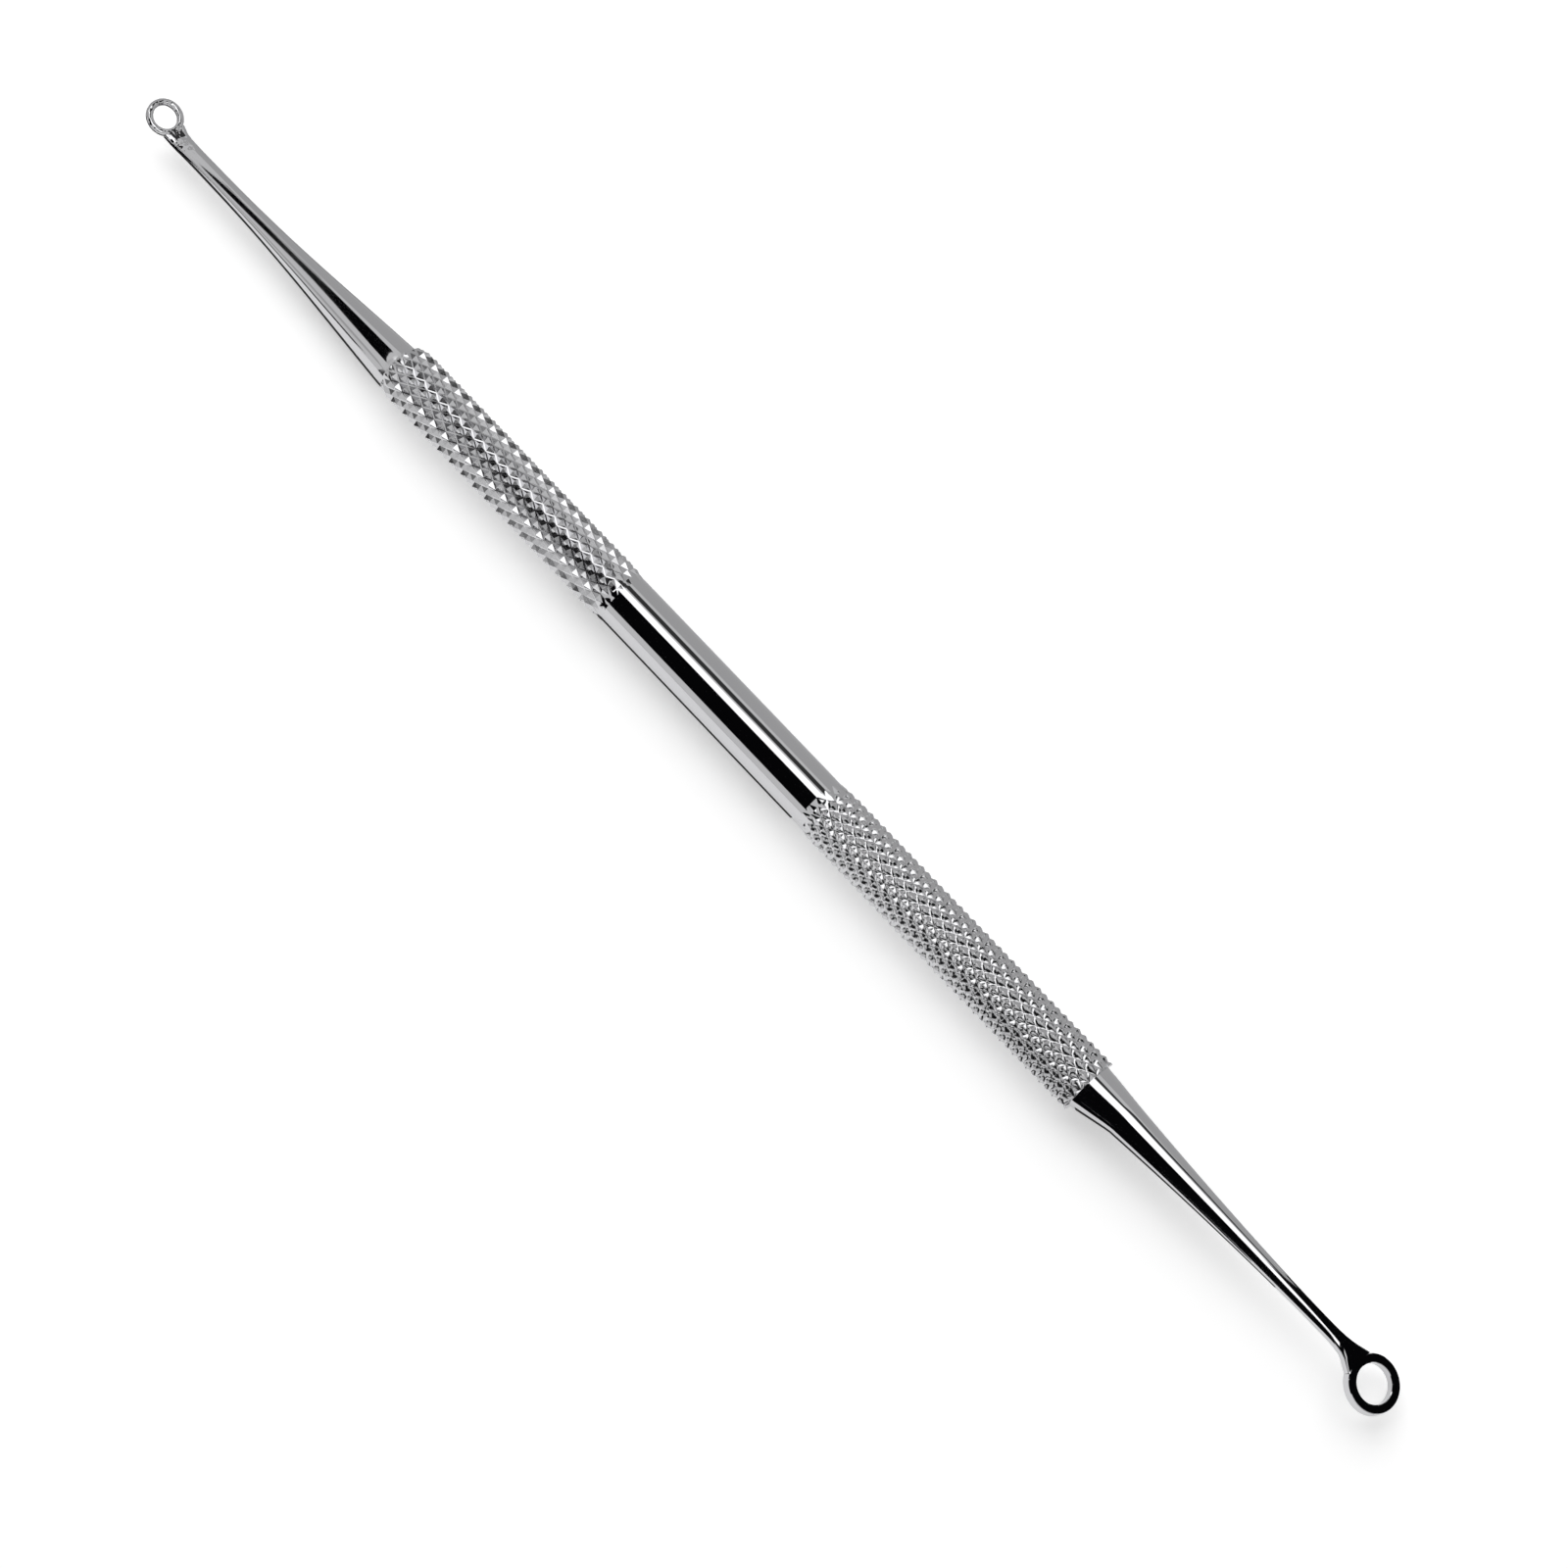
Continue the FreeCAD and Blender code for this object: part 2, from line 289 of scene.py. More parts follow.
# %% Smooth grip
SIDES_ROUND = 96
UNDER_BAND = 0.2 * MM
UNDER_R = GROOVE_R - 0.05 * MM
grip_middle = (GRIP_START + GRIP_END) / 2
grip = start_piece(
    "grip",
    bpy.ops.mesh.primitive_cylinder_add,
    vertices=SIDES_ROUND,
    radius=GRIP_R,
    depth=GRIP - FADE,
    location=(grip_middle, 0, 0),
    rotation=(0, TURN / 4, 0),
)
for side in (-1, 1):
    edge = grip_middle + side * (GRIP - FADE) / 2
    pick(grip, lambda place: abs(place.x - edge) < SAME)
    inward = UNDER_R / GRIP_R
    bpy.ops.mesh.extrude_region_move(TRANSFORM_OT_translate={"value": (side * UNDER_BAND, 0, 0)})
    bpy.ops.transform.resize(value=(1, inward, inward), center_override=(edge, 0, 0))
bpy.ops.object.mode_set(mode="OBJECT")
report(grip)

# %% [markdown]
# The two bent ends are alike in kind and differ in size, so one table holds the sizes of both. They
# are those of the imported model, with the widths and edges set a little nearer to the real tool's.

# %% Sizes of the bent ends, left and right, in millimetres and degrees
END_SIZES = {
    "root_len": (0.0, 3.0),  # steep first part, which the left neck doesn't have
    "length": (24.0, 23.3),  # from the band to the bend
    "root": (3.56, 3.6),  # width where the neck leaves the band
    "base": (3.56, 2.64),  # width past the steep first part
    "base_rise": (-0.4, 0.46),  # middle of that section above the handle's axis
    "tip": (1.28, 1.0),  # width at the bend
    "tip_height": (0.8, 0.75),
    "tip_rise": (-0.42, 0.68),  # bend above the handle's axis
    "power": (1.4, 1.85),  # how hollow the taper is, 1 being a straight cone
    "gain": (1.3, 0),  # what the power gains on the way to the bend
    "flat": (6, 3),  # the more, the later the neck is flattened
    "square": (5, 12),  # the more, the later its section turns from round to square
    "flare": (0.14, 0.3),  # what the width gains again before the bend
    "flare_len": (2.0, 1.5),
    "pitch": (24.0, -17.0),  # bend of the ring, tip up
    "reach": (2.0, 2.7),  # from the bend to the middle of the ring
    "web": (1.8, 2.2),  # width where the neck runs into the ring
    "web_square": (0, 8),  # what the section gains in squareness on the web
    "ring": (1.4, 2.015),  # outer radius
    "inset": (0, 0.1),  # how far the rim leans in towards the face
    "hole": (0.87, 1.315),  # radius of the opening
    "thick": (0.5, 0.6),
    "rim_round": (0.24, 0.04),  # rounding of the rim
    "hole_round": (0.22, 0.04),  # rounding round the opening
    "round_steps": (5, 1),
}
LEFT_END = {name: both[0] for name, both in END_SIZES.items()}
RIGHT_END = {name: both[1] for name, both in END_SIZES.items()}
for name, side in (("left", LEFT_END), ("right", RIGHT_END)):
    print(name, "ring", round(2 * side["ring"], 2), "opening", round(2 * side["hole"], 2), "mm")

# %% [markdown]
# Each neck is drawn down from the bar. It leaves the band off centre, slims in a hollow curve,
# is bent near its end and flattened there. This is the classic use of extrude: a circle at the
# root is extruded outwards, and each new ring of edges is made smaller and moved sideways. The
# list of those rings is worked out first. It begins inside the band and ends inside the open
# ring's wall.

# %% Stations along a neck
NECK_STEP = 0.5
NECK_INSIDE = 0.9  # how far the neck reaches into its band
ROUND = 2  # the power that makes a section round, where 4 is a rounded oblong
OBLONG = 4
BEND_POWER = 16  # the more, the nearer to its end the neck starts to bend
WEB_STEPS = 6
WEB_SHARE = 0.985  # the web's height in the ring's thickness, so that no faces coincide


def neck_shape(side, distance):
    """Width, height and rise of a neck at a distance from its band."""
    share = min(max((distance - side["root_len"]) / (side["length"] - side["root_len"]), 0), 1)
    if distance < side["root_len"]:
        near = distance / side["root_len"]
        width = side["root"] + (side["base"] - side["root"]) * near
        return width, width, side["base_rise"] * near
    power = side["power"] + side["gain"] * share
    width = side["tip"] + (side["base"] - side["tip"]) * (1 - share) ** power
    height = width * (1 - share ** side["flat"] * (1 - side["tip_height"] / side["tip"]))
    near = max(distance - side["length"] + side["flare_len"], 0) / side["flare_len"]
    width += side["flare"] * near ** 2
    return width, height, side["base_rise"] + share * (side["tip_rise"] - side["base_rise"])


def neck_stations(side, outward):
    """Middle, width, height, squareness and share of the bend of each ring of edges."""
    stations = []
    distance = -NECK_INSIDE
    while distance < side["length"] - SAME / MM:
        width, height, rise = neck_shape(side, max(distance, 0))
        share = max(distance, 0) / side["length"]
        middle = Vector((outward * distance, 0, rise))
        squareness = ROUND + (OBLONG - ROUND) * share ** side["square"]
        stations.append((middle, width, height, squareness, share ** BEND_POWER / 2))
        distance += NECK_STEP
    # Past the bend lies a flat web, which widens towards the ring
    pitch = math.radians(side["pitch"])
    web_len = side["reach"] - (side["ring"] + side["hole"]) / 2
    start_width = side["tip"] + side["flare"]
    bend = Vector((outward * side["length"], 0, side["tip_rise"]))
    across = Vector((outward * math.cos(pitch), 0, math.sin(pitch)))
    for k in range(1, WEB_STEPS + 1):
        share = k / WEB_STEPS
        width = start_width + (side["web"] - start_width) * share
        height = side["tip_height"] + (side["thick"] * WEB_SHARE - side["tip_height"]) * share
        squareness = OBLONG + side["web_square"] * share
        stations.append((bend + across * web_len * share, width, height, squareness, 1))
    return stations


print("stations:", len(neck_stations(LEFT_END, -1)), "and", len(neck_stations(RIGHT_END, 1)))

# %% [markdown]
# Now the extruding. Both ends of a neck are closed, although they are out of sight, so that each
# part is a closed shell. The neck is made in millimetres and upright, which keeps the table's
# numbers readable, and it is then scaled to metres, leaned over and put at the end of its band.

# %% Tapered necks


def move_ring(piece, middle, width, height, squareness, tilt):
    """Gives the newest ring of edges its size, form, tilt and place."""
    bpy.ops.object.mode_set(mode="OBJECT")
    turn = Matrix.Rotation(tilt, 4, "Y")
    for k, vertex in enumerate(v for v in piece.data.vertices if v.select):
        angle = TURN * k / SIDES_ROUND
        across = math.copysign(abs(math.cos(angle)) ** (2 / squareness), math.cos(angle))
        up = math.copysign(abs(math.sin(angle)) ** (2 / squareness), math.sin(angle))
        vertex.co = middle + turn @ Vector((0, across * width / 2, up * height / 2))
    bpy.ops.object.mode_set(mode="EDIT")


def neck(name, side, root_x, outward):
    """A closed neck, with its web, that leaves the handle at root_x."""
    pitch = math.radians(side["pitch"])
    piece = start_piece(
        name,
        bpy.ops.mesh.primitive_circle_add,
        vertices=SIDES_ROUND,
        radius=1,
        rotation=(0, TURN / 4, 0),
    )
    bpy.ops.object.mode_set(mode="EDIT")
    bpy.ops.mesh.select_all(action="SELECT")
    for number, (middle, width, height, squareness, bent) in enumerate(
        neck_stations(side, outward)
    ):
        if number:
            bpy.ops.mesh.extrude_region_move(TRANSFORM_OT_translate={"value": (outward, 0, 0)})
        move_ring(piece, middle, width, height, squareness, -outward * pitch * bent)
    bpy.ops.mesh.edge_face_add()
    bpy.ops.object.mode_set(mode="OBJECT")
    # The first ring of edges is closed too, inside the band
    pick(piece, lambda place: place.x * outward < -NECK_INSIDE + SAME / MM)
    bpy.ops.mesh.edge_face_add()
    bpy.ops.mesh.select_all(action="SELECT")
    bpy.ops.mesh.normals_make_consistent(inside=False)
    bpy.ops.object.mode_set(mode="OBJECT")
    piece.data.transform(
        Matrix.Translation((root_x, 0, 0))
        @ Matrix.Rotation(-LEAN, 4, "X")
        @ Matrix.Scale(MM, 4)
    )
    return piece


left_neck = neck("left_neck", LEFT_END, HANDLE_START, -1)
right_neck = neck("right_neck", RIGHT_END, HANDLE_END, 1)
report(left_neck)
report(right_neck)

# %% [markdown]
# Each ring is a short tube. The small one's edges are rounded so far that its section is nearly
# round. The large one has flat faces with broken edges, and its rim leans in a little. The section
# is drawn once, as a small plane with bevelled corners, and the spin operator sweeps it once round
# the ring's own axis. Spin may turn a shape inside out, so the doubles are merged and the normals
# are made to point outwards.

# %% Open rings
RING_STEPS = 96
WELD = 0.001  # vertices nearer than this are one, in millimetres


def ring(name, side, root_x, outward):
    """An open ring, tilted and placed at the end of its neck."""
    width = side["ring"] - side["hole"]
    middle = (side["hole"] + width / 2, 0, 0)
    piece = start_piece(
        name,
        bpy.ops.mesh.primitive_plane_add,
        size=1,
        rotation=(TURN / 4, 0, 0),
        location=middle,
    )
    pick(piece, lambda place: True)
    bpy.ops.transform.resize(value=(width, 1, side["thick"]), center_override=middle)
    pick(piece, lambda place: place.x > middle[0] and place.z > 0)
    bpy.ops.transform.translate(value=(-side["inset"], 0, 0))
    steps = side["round_steps"]
    pick(piece, lambda place: place.x > middle[0])
    bpy.ops.mesh.bevel(offset=side["rim_round"], segments=steps, affect="VERTICES")
    pick(piece, lambda place: place.x < side["hole"] + SAME / MM)
    bpy.ops.mesh.bevel(offset=side["hole_round"], segments=steps, affect="VERTICES")
    bpy.ops.mesh.select_all(action="SELECT")
    bpy.ops.mesh.spin(steps=RING_STEPS, angle=TURN, center=(0, 0, 0), axis=(0, 0, 1))
    bpy.ops.mesh.select_all(action="SELECT")
    bpy.ops.mesh.remove_doubles(threshold=WELD)
    # The section that the sweep began with stays inside the ring, and is taken out. It is the only
    # face with more than four corners.
    bpy.ops.mesh.select_all(action="DESELECT")
    bpy.ops.mesh.select_mode(type="FACE")
    bpy.ops.object.mode_set(mode="OBJECT")
    for face in piece.data.polygons:
        face.select = len(face.vertices) > 4
    bpy.ops.object.mode_set(mode="EDIT")
    bpy.ops.mesh.delete(type="ONLY_FACE")
    bpy.ops.mesh.select_all(action="SELECT")
    bpy.ops.mesh.normals_make_consistent(inside=False)
    bpy.ops.object.mode_set(mode="OBJECT")
    pitch = math.radians(side["pitch"])
    across = Vector((outward * math.cos(pitch), 0, math.sin(pitch)))
    centre = Vector((outward * side["length"], 0, side["tip_rise"])) + across * side["reach"]
    piece.data.transform(
        Matrix.Translation((root_x, 0, 0))
        @ Matrix.Rotation(-LEAN, 4, "X")
        @ Matrix.Scale(MM, 4)
        @ Matrix.Translation(centre)
        @ Matrix.Rotation(-outward * pitch, 4, "Y")
    )
    return piece


small_ring = ring("small_ring", LEFT_END, HANDLE_START, -1)
large_ring = ring("large_ring", RIGHT_END, HANDLE_END, 1)
report(small_ring)
report(large_ring)

# %% [markdown]
# The real tool is one piece of steel, so the parts are joined into one object. It is then lifted
# so that it lies on its knurling, and its place stays in its mesh. Edges sharper than 30 degrees
# stay crisp, which keeps each diamond a small mirror of its own.

# %% Join the tool
CRISP_EDGE = math.radians(30)
bpy.ops.object.select_all(action="DESELECT")
for part in (left_band, right_band, grip, left_neck, right_neck, small_ring, large_ring):
    part.select_set(True)
bpy.context.view_layer.objects.active = grip
bpy.ops.object.join()
tool = bpy.context.object
tool.name = "steel_extractor"
tool.data.transform(Matrix.Translation((0, 0, AXIS_Z)))
bpy.ops.object.shade_smooth_by_angle(angle=CRISP_EDGE)
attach(tool, "root")
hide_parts("extractor_body")
report(tool)

# %% [markdown]
# Three helpers serve all the materials. One turns a hex colour, as a paint card gives it, into the
# linear numbers that a shader takes. One adds a node with its settings and links, and one starts a
# material with no nodes.

# %% Helpers for materials


def linear(code):
    """An sRGB hex colour as the linear numbers that a shader takes."""
    parts = [int(code[k : k + 2], 16) / 255 for k in (1, 3, 5)]
    parts = [c / 12.92 if c <= 0.04045 else ((c + 0.055) / 1.055) ** 2.4 for c in parts]
    return (*parts, 1.0)


def add_node(tree, kind, links=(), **settings):
    """Adds a node, sets its inputs or properties, and links outputs to its inputs."""
    made = tree.nodes.new(kind)
    for key, value in settings.items():
        if key in made.inputs.keys():
            made.inputs[key].default_value = value
        else:
            setattr(made, key, value)
    for source, target in links:
        tree.links.new(source, made.inputs[target])
    return made


def new_material(name):
    made = bpy.data.materials.new(name)
    made.use_nodes = True
    made.node_tree.nodes.clear()
    return made


STEEL_GREY = linear("#C8C8CA")
print("steel grey in linear numbers:", [round(c, 3) for c in STEEL_GREY])

# %% [markdown]
# The tool is stainless steel, polished on a buffing wheel until it mirrors the room. A metal is
# metallic all through: its colour is that of its reflections, a light neutral grey. Even a fine
# polish leaves a faint haze and hairline scratches, which a little roughness and bump give. Each
# pattern's scale is one divided by a real length, because the coordinates are in metres.

# %% Haze and polishing marks of the steel
HAZE_PATCH = 2.5 * MM
ROUGH_LOW = 0.03
ROUGH_HIGH = 0.06
MARK_LEN = 5 * MM
MARK_GAP = MM / 3
MARK_DEPTH = 0.005 * MM
MARK_STRENGTH = 0.2

steel = new_material("polished_stainless_steel")
tree = steel.node_tree
coords = add_node(tree, "ShaderNodeTexCoord").outputs["Object"]
# Polishing haze: soft patches that make the mirror a little uneven
haze = add_node(
    tree, "ShaderNodeTexNoise", [(coords, "Vector")], Scale=1 / HAZE_PATCH, Detail=3.0
)
rough = add_node(tree, "ShaderNodeMapRange", [(haze.outputs["Fac"], "Value")])
rough.inputs["To Min"].default_value = ROUGH_LOW
rough.inputs["To Max"].default_value = ROUGH_HIGH
# Polishing marks: long along the bar. Real ones are finer, and these are as coarse as will show
along = add_node(tree, "ShaderNodeVectorMath", [(coords, 0)], operation="MULTIPLY")
along.inputs[1].default_value = (1 / MARK_LEN, 1 / MARK_GAP, 1 / MARK_GAP)
marks = add_node(tree, "ShaderNodeTexNoise", [(along.outputs[0], "Vector")], Scale=1.0, Detail=2.0)
polish = add_node(tree, "ShaderNodeBump", [(marks.outputs["Fac"], "Height")])
polish.inputs["Strength"].default_value = MARK_STRENGTH
polish.inputs["Distance"].default_value = MARK_DEPTH
print("polished steel: roughness", ROUGH_LOW, "to", ROUGH_HIGH)

# %% [markdown]
# Two places differ from the rest. The pressed diamonds can't be buffed down to their grooves, so
# they stay a little duller, and their glints are softer. Where the small ring was brazed on, the
# joint was ground by hand, and its uneven surface breaks up the reflections. Both are found by
# their place along the bar, and the shader then brings all of it together.

# %% Ground joint, duller knurling and the finished steel
JOINT_START = -57.5 * MM
JOINT_END = -59.3 * MM
LUMP = 0.5 * MM
LUMP_DEPTH = 0.09 * MM
KNURL_DULLER = 0.09

place = add_node(tree, "ShaderNodeSeparateXYZ", [(coords, "Vector")])
joint = add_node(tree, "ShaderNodeMapRange", [(place.outputs["X"], "Value")])
joint.inputs["From Min"].default_value = JOINT_START
joint.inputs["From Max"].default_value = JOINT_END
# Compare gives one inside a knurled band and nought outside it
dullness = rough.outputs["Result"]
for start, end in ((HANDLE_START, GRIP_START), (GRIP_END, HANDLE_END)):
    inside = add_node(tree, "ShaderNodeMath", [(place.outputs["X"], 0)], operation="COMPARE")
    inside.inputs[1].default_value = (start + end) / 2
    inside.inputs[2].default_value = (end - start) / 2
    more = add_node(
        tree, "ShaderNodeMath", [(inside.outputs[0], 0), (dullness, 2)], operation="MULTIPLY_ADD"
    )
    more.inputs[1].default_value = KNURL_DULLER
    dullness = more.outputs[0]
lumps = add_node(tree, "ShaderNodeTexNoise", [(coords, "Vector")], Scale=1 / LUMP, Detail=1.0)
ground = add_node(
    tree,
    "ShaderNodeBump",
    [
        (joint.outputs["Result"], "Strength"),
        (lumps.outputs["Fac"], "Height"),
        (polish.outputs["Normal"], "Normal"),
    ],
)
ground.inputs["Distance"].default_value = LUMP_DEPTH
shader = add_node(
    tree,
    "ShaderNodeBsdfPrincipled",
    [(dullness, "Roughness"), (ground.outputs["Normal"], "Normal")],
)
shader.inputs["Base Color"].default_value = STEEL_GREY
shader.inputs["Metallic"].default_value = 1.0
add_node(tree, "ShaderNodeOutputMaterial", [(shader.outputs["BSDF"], "Surface")])
tool.data.materials.clear()
tool.data.materials.append(steel)
print("knurling: roughness up to", round(ROUGH_HIGH + KNURL_DULLER, 2))

# %% [markdown]
# The tool lies on a plain white table. Its paper is a very light grey, and it is lit by the lamp
# and the room, so that the tool's soft shadow falls on it. The camera, mirrors and glass see it
# with a little glow added, which brings it up to white and gives no soft light of its own.

# %% White table
TABLE_SIZE = 4.0
PAPER_GLOW = 0.45


def any_seen(tree):
    """One for the rays of the camera, of mirrors and of glass, and nought for soft light."""
    ray = add_node(tree, "ShaderNodeLightPath").outputs
    either = add_node(
        tree,
        "ShaderNodeMath",
        [(ray["Is Camera Ray"], 0), (ray["Is Glossy Ray"], 1)],
        operation="ADD",
    )
    return add_node(
        tree,
        "ShaderNodeMath",
        [(either.outputs[0], 0), (ray["Is Transmission Ray"], 1)],
        operation="ADD",
    ).outputs[0]


table_top = start_piece("table_top", bpy.ops.mesh.primitive_plane_add, size=TABLE_SIZE)
paper = new_material("white_paper")
tree = paper.node_tree
matt = add_node(tree, "ShaderNodeBsdfDiffuse", Color=linear("#E6E6E6"))
lift = add_node(tree, "ShaderNodeMath", [(any_seen(tree), 0)], operation="MULTIPLY")
lift.inputs[1].default_value = PAPER_GLOW
glow = add_node(tree, "ShaderNodeEmission", [(lift.outputs[0], "Strength")])
both = add_node(tree, "ShaderNodeAddShader", [(matt.outputs[0], 0), (glow.outputs[0], 1)])
add_node(tree, "ShaderNodeOutputMaterial", [(both.outputs[0], "Surface")])
table_top.data.materials.append(paper)
report(table_top)

# %% [markdown]
# Polished steel shows only what stands round it, so a photographer builds its looks from cards.
# Each card here is a flat polygon that glows evenly, given by its corners in millimetres, and only
# reflections see it. Nothing but its mirror image tells that it is there.

# %% Cards and their tones
ROOF_HEIGHT = 150
FLAG_HEIGHT = 76
FOOT_HEIGHT = 0.1
cards = []


def card_material(name, colour, strength=1.0):
    made = new_material(name)
    glow = add_node(made.node_tree, "ShaderNodeEmission", Color=linear(colour), Strength=strength)
    add_node(made.node_tree, "ShaderNodeOutputMaterial", [(glow.outputs["Emission"], "Surface")])
    return made


def card(name, material, corners):
    """A flat card with these corners, that only reflections see."""
    made = start_piece(
        name, bpy.ops.mesh.primitive_circle_add, vertices=len(corners), fill_type="NGON"
    )
    for vertex, corner in zip(made.data.vertices, corners):
        vertex.co = Vector(corner) * MM
    made.data.materials.append(material)
    made.visible_camera = False
    made.visible_diffuse = False
    made.visible_shadow = False
    made.visible_transmission = False
    cards.append(made)


def level_card(name, material, height, outline):
    """A card that lies level, at this height over the table."""
    card(name, material, [(x, y, height) for x, y in outline])


black = card_material("black_card", "#08080A")
dark = card_material("dark_card", "#404040")
dim = card_material("dim_card", "#686868")
grey = card_material("grey_card", "#BFBFBF")
pale = card_material("pale_card", "#BEBEBE")
white = card_material("softbox_front", "#FFFFFF", 1.9)
print("card tones:", [m.name for m in (black, dark, dim, grey, pale, white)])

# %% [markdown]
# Over the table hangs a softbox, which gives the white highlight, and beside it a black roof, which
# gives the broad black band along the grip. A wedge of black does the same for the left neck. At
# the right neck the bands are narrow and turn with the steel, so a smaller flag hangs lower there.
# A dark strip behind the softbox draws the thin line above the highlight. Two black cards stand
# far in front and carry the black bands on down to the table, and a pale and a grey card hang over
# the left end, for the tip of that neck.

# %% Cards over the table
level_card(
    "black_wedge",
    black,
    ROOF_HEIGHT,
    [
        (-172, 135), (-155, 92), (-146, 40), (-143, -10), (-143.5, -40), (-144.5, -66),
        (-142, -87), (-122, -87), (-118, -8), (-124, 69), (-148, 86), (-160, 100),
    ],
)
level_card(
    "black_roof",
    black,
    ROOF_HEIGHT,
    [(-92, 2), (-92, -120), (-116, -300), (-10, -300), (-10, 2)],
)
level_card(
    "black_flag",
    black,
    FLAG_HEIGHT,
    [
        (28, -4), (33, -5), (42.5, -10), (44.7, -10.5), (48.5, -6.5), (51.8, -5), (54.7, -2.5),
        (57.5, 22), (59.7, 65), (59.7, 120), (68, 120), (68, -150), (24, -150),
    ],
)
card("black_front", black, [(20, -300, 0), (66, -300, 0), (66, -300, 150), (20, -300, 150)])
card(
    "black_far",
    black,
    [(-190, -300, 0), (-122, -300, 0), (-122, -300, 150), (-190, -300, 150)],
)
level_card(
    "softbox_front",
    white,
    ROOF_HEIGHT,
    [
        (-105, 12), (-78, 4), (20, 3), (28, -6), (46, -19), (52, -12), (57, -5), (62, 45),
        (62, 130), (59, 125), (55, 100), (48, 88), (26, 79), (-20, 64), (-105, 64),
    ],
)
level_card(
    "dark_strip",
    dark,
    ROOF_HEIGHT,
    [
        (-105, 84), (26, 84), (46, 100), (48, 112), (52, 140), (62, 150), (62, 260), (52, 240),
        (48, 180), (26, 125), (-20, 158), (-105, 158),
    ],
)
level_card(
    "pale_tip", pale, ROOF_HEIGHT, [(-250, -300), (-190, -300), (-190, 145), (-250, 145)]
)
level_card(
    "grey_left", grey, ROOF_HEIGHT, [(-400, 145), (-100, 160), (-100, 240), (-400, 240)]
)
print("cards over the table:", len(cards))

# %% [markdown]
# Grey cards stand on the far side and give the quiet upper half of the bar. Black ones at the
# right make the large ring's face black. A few lie on the table itself, in grey, dark and black,
# and give the lower edges of the steel their fine dark lines. The dark ones under the bar and the
# black one under the small ring are painted shadow: in reflections they stand in for the tool's
# own shadow on the table.

# %% Cards round the table and on it
card(
    "dim_left", dim, [(-330, -220, 60), (-330, 220, 60), (-330, 220, 150), (-330, -220, 150)]
)
card(
    "dark_front", dark, [(-300, -300, 0), (-215, -300, 0), (-215, -300, 50), (-300, -300, 50)]
)
card(
    "grey_wall", grey, [(-400, 300, 0.1), (400, 300, 0.1), (400, 240, 150), (-400, 240, 150)]
)
level_card("grey_foot", grey, FOOT_HEIGHT, [(-400, 3), (52, 3), (52, 300), (-400, 300)])
card("black_side", black, [(120, 60, 20), (200, 20, 20), (230, 150, 160), (120, 200, 160)])
card("black_end", black, [(53.5, 50, 0.2), (120, 50, 0.2), (120, 50, 90), (53.5, 50, 90)])
level_card("black_foot", black, FOOT_HEIGHT, [(25, -300), (50, -300), (50, -8), (25, -8)])
level_card("black_foot", black, FOOT_HEIGHT, [(52, 3), (60, 3), (60, 50), (52, 50)])
# Dark cards under the bar, in painted shadow: seen only in reflections, they stand in for the
# tool's contact shadow on the table.
for left, right in ((-60, -35.5), (-15, 7.5), (35, 52)):
    shadow_outline = [(left, -3.3), (right, -3.3), (right, 3), (left, 3)]
    level_card("painted_contact_shadow", dark, FOOT_HEIGHT, shadow_outline)
# A black card under the small ring, in painted shadow: seen only in reflections, it stands in for
# the ring's shadow on the table.
level_card(
    "painted_ring_shadow", black, FOOT_HEIGHT, [(-75, -14), (-59, -14), (-59, -0.5), (-75, -0.5)]
)
print("cards in all:", len(cards))

# %% [markdown]
# The rest of the room is a plain light grey. It is seen lighter than it shines, so that its soft
# light doesn't drown the shadow. The shadow comes from one large lamp behind the tool, above its
# left end. Reflections leave this lamp out, because the cards stand for it there.

# %% Room light and lamp
ROOM_SHINES = 0.25
ROOM_SEEN = 0.78
LAMP_SIZE = 1.2
LAMP_POWER = 10
LAMP_PLACE = Vector((-0.48, 0.43, 0.766))

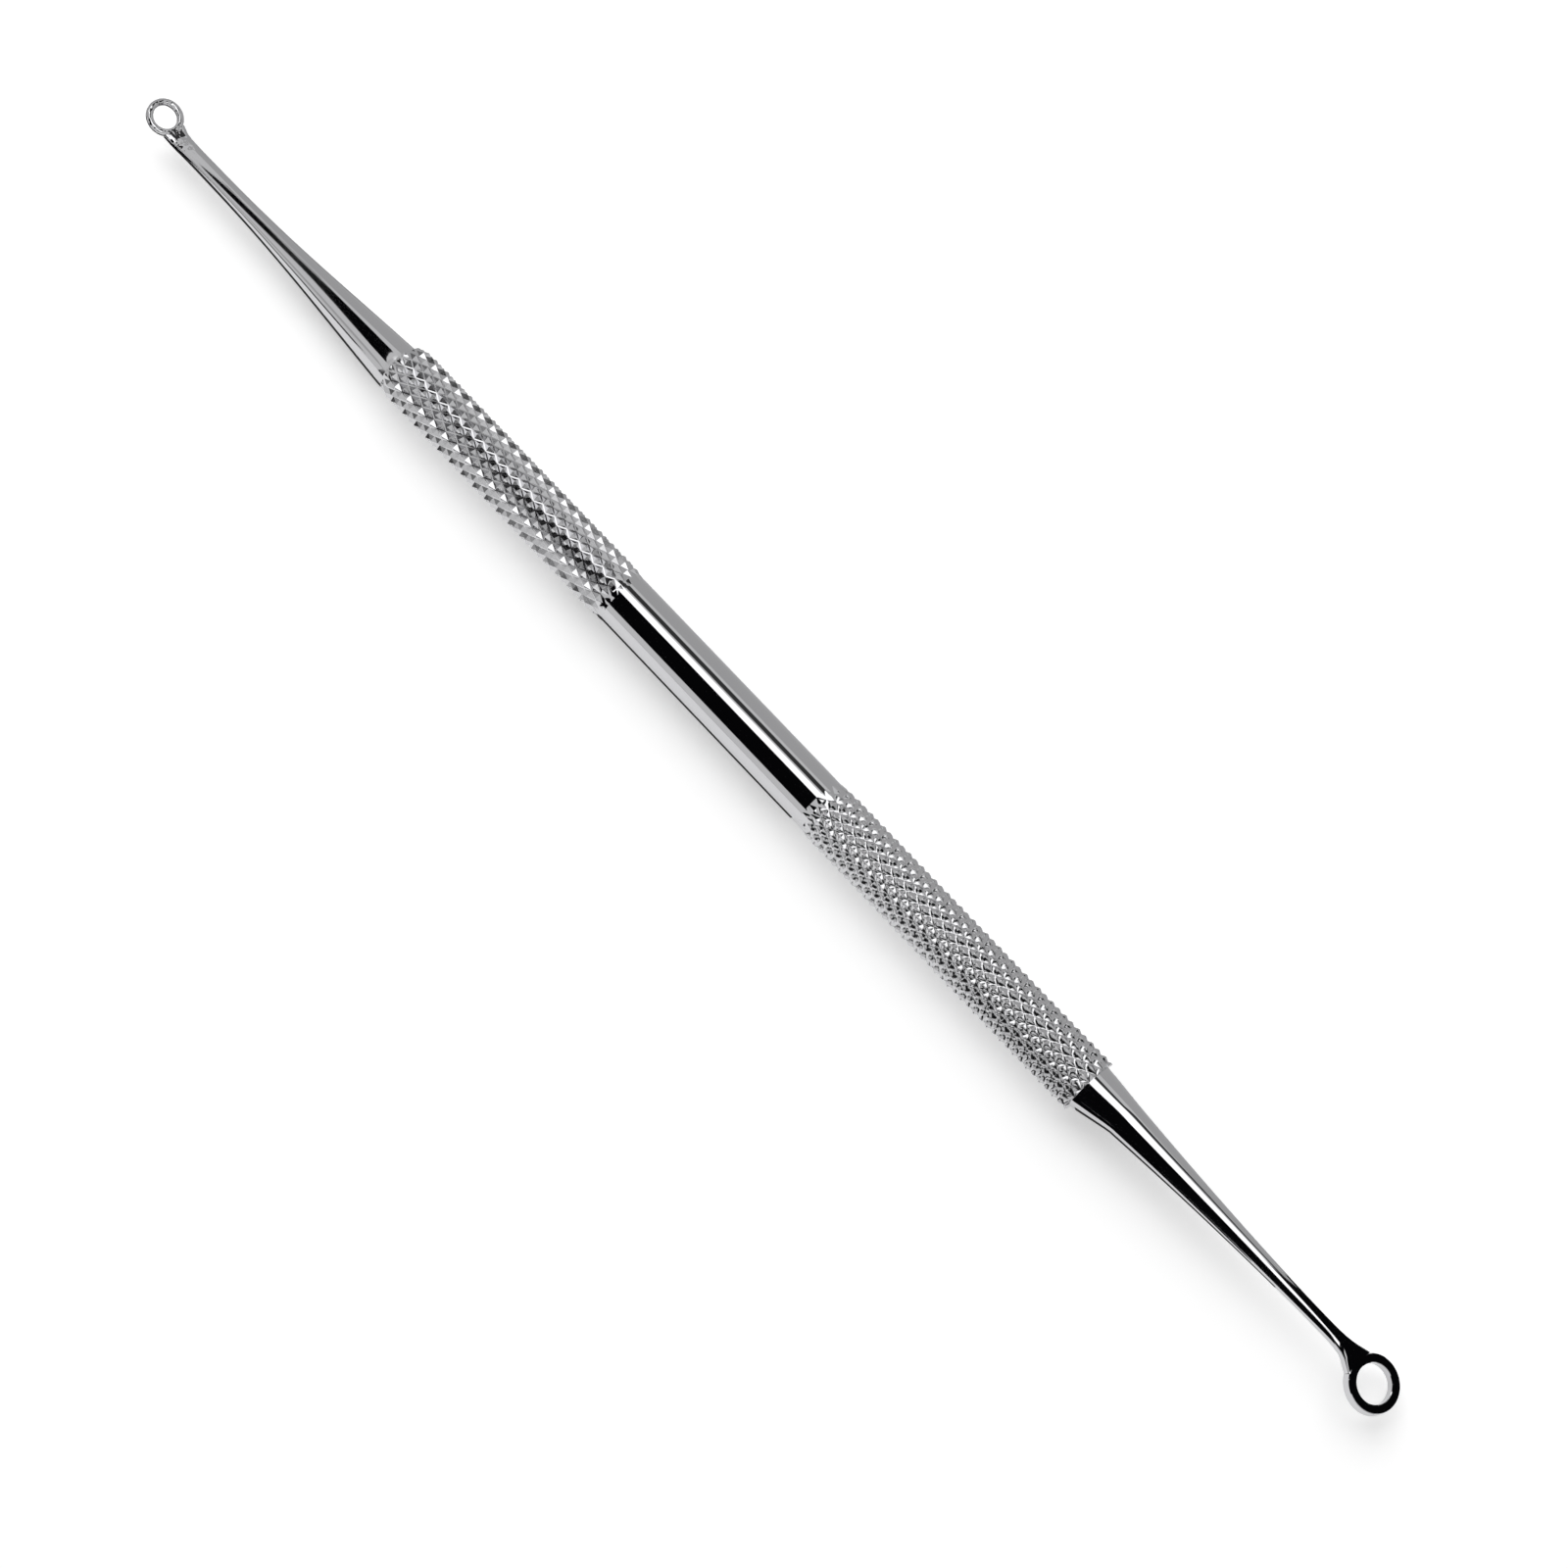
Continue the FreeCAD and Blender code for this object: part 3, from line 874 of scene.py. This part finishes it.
world = bpy.data.worlds.new("studio")
bpy.context.scene.world = world
world.use_nodes = True
tree = world.node_tree
tree.nodes.clear()
level = add_node(tree, "ShaderNodeMapRange", [(any_seen(tree), "Value")])
level.inputs["To Min"].default_value = ROOM_SHINES
level.inputs["To Max"].default_value = ROOM_SEEN
sky = add_node(tree, "ShaderNodeBackground", [(level.outputs["Result"], "Strength")])
sky.inputs["Color"].default_value = (1, 1, 1, 1)
add_node(tree, "ShaderNodeOutputWorld", [(sky.outputs[0], "Surface")])

lamp = bpy.data.lights.new("key_softbox", "AREA")
lamp.size = LAMP_SIZE
lamp.energy = LAMP_POWER
lamp_object = bpy.data.objects.new("key_softbox", lamp)
lamp_object.location = LAMP_PLACE
lamp_object.rotation_euler = (-LAMP_PLACE).to_track_quat("-Z", "Y").to_euler()
bpy.context.scene.collection.objects.link(lamp_object)
lamp_object.visible_glossy = False
print("lamp", round(LAMP_PLACE.length, 2), "m from the tool")

# %% [markdown]
# The photograph looks down steeply from near by, so the handle runs through the picture at an
# angle and its near end is drawn a little larger. The camera stands at that angle and distance.

# %% Camera
AZIMUTH = math.radians(47.7)
ELEVATION = math.radians(72.3)
DISTANCE = 215 * MM
TARGET = Vector((5.87 * MM, -0.72 * MM, 2.02 * MM))
LENS = 73.56
SENSOR = 36
NEAREST_SEEN = 10 * MM
back = Vector((
    math.sin(AZIMUTH) * math.cos(ELEVATION),
    -math.cos(AZIMUTH) * math.cos(ELEVATION),
    math.sin(ELEVATION),
))
right = Vector((math.cos(AZIMUTH), math.sin(AZIMUTH), 0))
up = back.cross(right)
lens = bpy.data.cameras.new("camera")
lens.lens = LENS
lens.sensor_width = SENSOR
lens.clip_start = NEAREST_SEEN
camera = bpy.data.objects.new("camera", lens)
camera.matrix_world = Matrix.Translation(TARGET + back * DISTANCE) @ Matrix(
    (right, up, back)
).transposed().to_4x4()
bpy.context.scene.collection.objects.link(camera)
bpy.context.scene.camera = camera
bpy.context.scene.view_settings.view_transform = "Standard"
print("camera at", [round(c / MM, 1) for c in camera.location], "mm")
